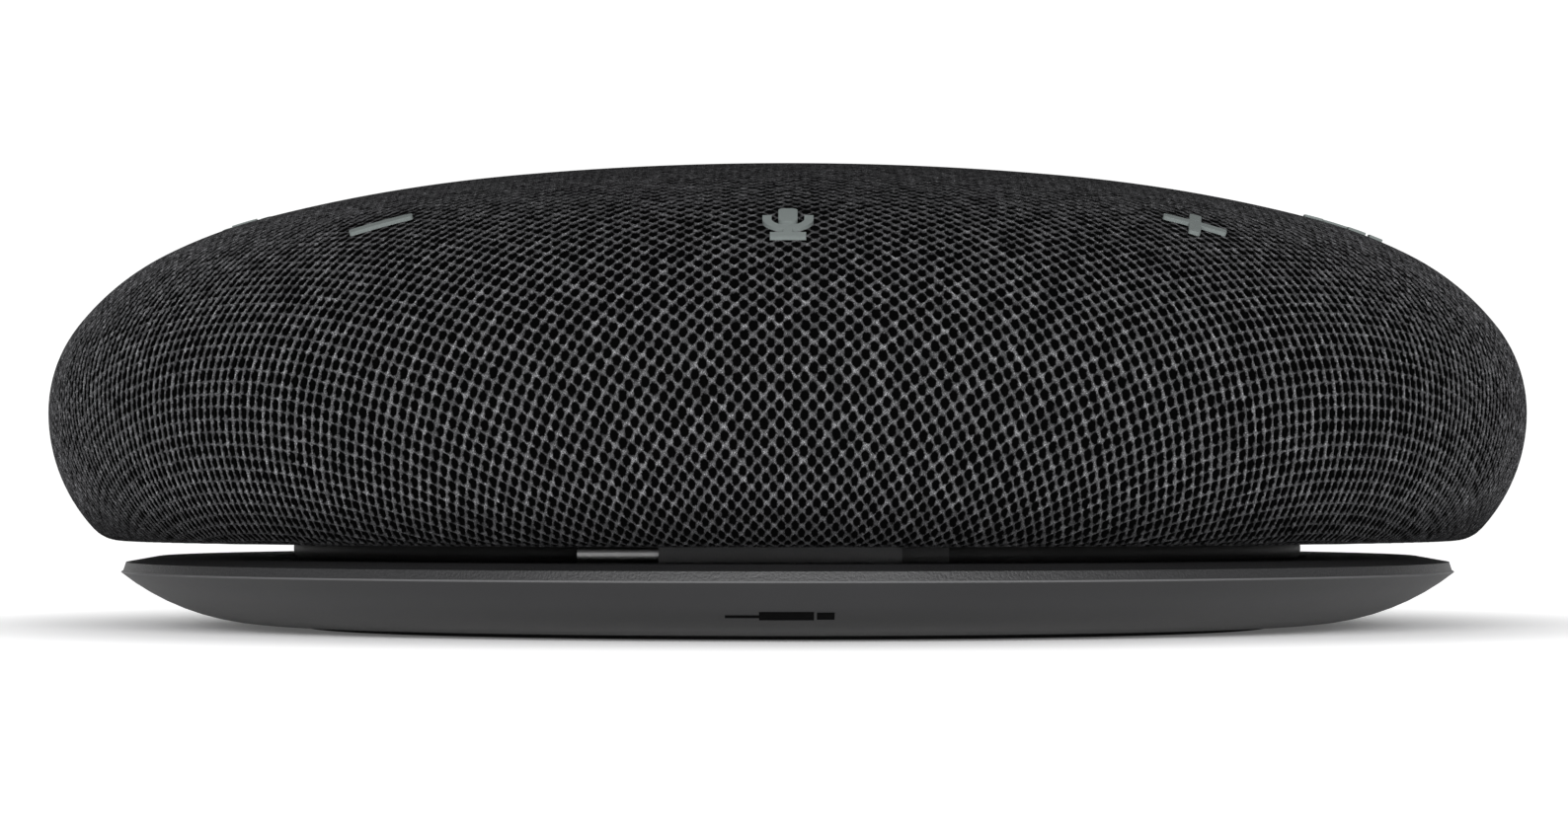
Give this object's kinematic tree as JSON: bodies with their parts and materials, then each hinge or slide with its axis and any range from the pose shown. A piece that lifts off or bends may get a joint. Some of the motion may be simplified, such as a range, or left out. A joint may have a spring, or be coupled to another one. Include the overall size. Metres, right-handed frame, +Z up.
{
  "type": "conference speakerphone",
  "caption": "Round table speakerphone: fabric-covered dome with raised symbol keys over a bowl-shaped base, its USB cable wound round the waist and the plug parked in front.",
  "frame": {"origin": "on the table, under the middle of the round body", "axes": "+Z up, -Y to the front, where the mute key and the parked plug are, +X to the right seen from the front"},
  "size_m": [0.132, 0.132, 0.0413],
  "materials": {
    "cloth": "knitted charcoal mesh",
    "key_rubber": "satin",
    "grille_plastic": "matt",
    "dish_plastic": "fine satin",
    "deck_plastic": "fine grain",
    "inner_plastic": "matt",
    "foot_rubber": "matt",
    "cable_jacket": "satin",
    "plug_plastic": "fine grain",
    "plug_steel": "nickel plated",
    "screw_steel": "black zinc",
    "basket_steel": "black",
    "motor_steel": "zinc plated",
    "ferrite": "sintered",
    "coil_copper": "enamelled wire",
    "cone_paper": "pressed pulp",
    "surround_rubber": "matt",
    "spider_cloth": "phenolic cloth",
    "gasket_foam": "foam",
    "board_laminate": "solder mask",
    "flex_film": "polyimide film",
    "chip_plastic": "matt",
    "shield_metal": "tinned",
    "led_lens": "clear",
    "battery_sleeve": "shrink film",
    "antenna_copper": "copper foil"
  },
  "bodies": {
    "housing": {"fabric_cover": "cloth", "grille_shell": "grille_plastic", "base_dish": "dish_plastic", "cable_tray": "deck_plastic", "cable_core": "deck_plastic", "body_tray": "inner_plastic", "speaker_chamber": "inner_plastic", "key_carrier": "inner_plastic", "battery_cradles": "inner_plastic", "foot_ring": "foot_rubber", "usb_cable": "cable_jacket", "cable_gland": "foot_rubber", "usb_boot": "plug_plastic", "usb_plug_grip": "plug_plastic", "usb_plug_liner": "plug_plastic", "usb_plug_shell": "plug_steel", "base_screws": "screw_steel", "tray_screws": "screw_steel", "board_screws": "screw_steel", "speaker_screws": "screw_steel", "speaker_basket": "basket_steel", "back_yoke": "motor_steel", "front_plate": "motor_steel", "magnet_ring": "ferrite", "cone_surround": "surround_rubber", "spider": "spider_cloth", "speaker_gasket": "gasket_foam", "mic_boots": "foot_rubber", "main_board": "board_laminate", "key_flex": "flex_film", "board_chips": "chip_plastic", "board_connectors": "inner_plastic", "tact_switches": "chip_plastic", "microphones": "shield_metal", "shield_can": "shield_metal", "status_leds": "led_lens", "battery_cells": "battery_sleeve", "antenna_strip": "antenna_copper"},
    "mute_key": {"mute_key": "key_rubber"},
    "volume_down_key": {"volume_down_key": "key_rubber"},
    "volume_up_key": {"volume_up_key": "key_rubber"},
    "pairing_key": {"pairing_key": "key_rubber"},
    "call_key": {"call_key": "key_rubber"},
    "diaphragm": {"speaker_cone": "cone_paper", "dust_cap": "cone_paper", "voice_coil": "coil_copper"}
  },
  "joints": [
    {"name": "mute_key_press", "type": "slide", "parent": "housing", "child": "mute_key", "axis": [0, 0.421, -0.907], "range_m": [0, 0.00025], "stiffness_N_per_m": 1000, "springref_m": -0.0005},
    {"name": "volume_down_key_press", "type": "slide", "parent": "housing", "child": "volume_down_key", "axis": [0.249, 0.3053, -0.9191], "range_m": [0, 0.00025], "stiffness_N_per_m": 1000, "springref_m": -0.0005},
    {"name": "volume_up_key_press", "type": "slide", "parent": "housing", "child": "volume_up_key", "axis": [-0.249, 0.3053, -0.9191], "range_m": [0, 0.00025], "stiffness_N_per_m": 1000, "springref_m": -0.0005},
    {"name": "pairing_key_press", "type": "slide", "parent": "housing", "child": "pairing_key", "axis": [0.2803, 0.0147, -0.9598], "range_m": [0, 0.00025], "stiffness_N_per_m": 1000, "springref_m": -0.0005},
    {"name": "call_key_press", "type": "slide", "parent": "housing", "child": "call_key", "axis": [-0.3097, 0.0408, -0.95], "range_m": [0, 0.00025], "stiffness_N_per_m": 1000, "springref_m": -0.0005},
    {"name": "diaphragm_stroke", "type": "slide", "parent": "housing", "child": "diaphragm", "axis": [0, 0, 1], "range_m": [-0.0015, 0.0015], "stiffness_N_per_m": 1500, "deforming": ["cone_surround", "spider"]}
  ]
}
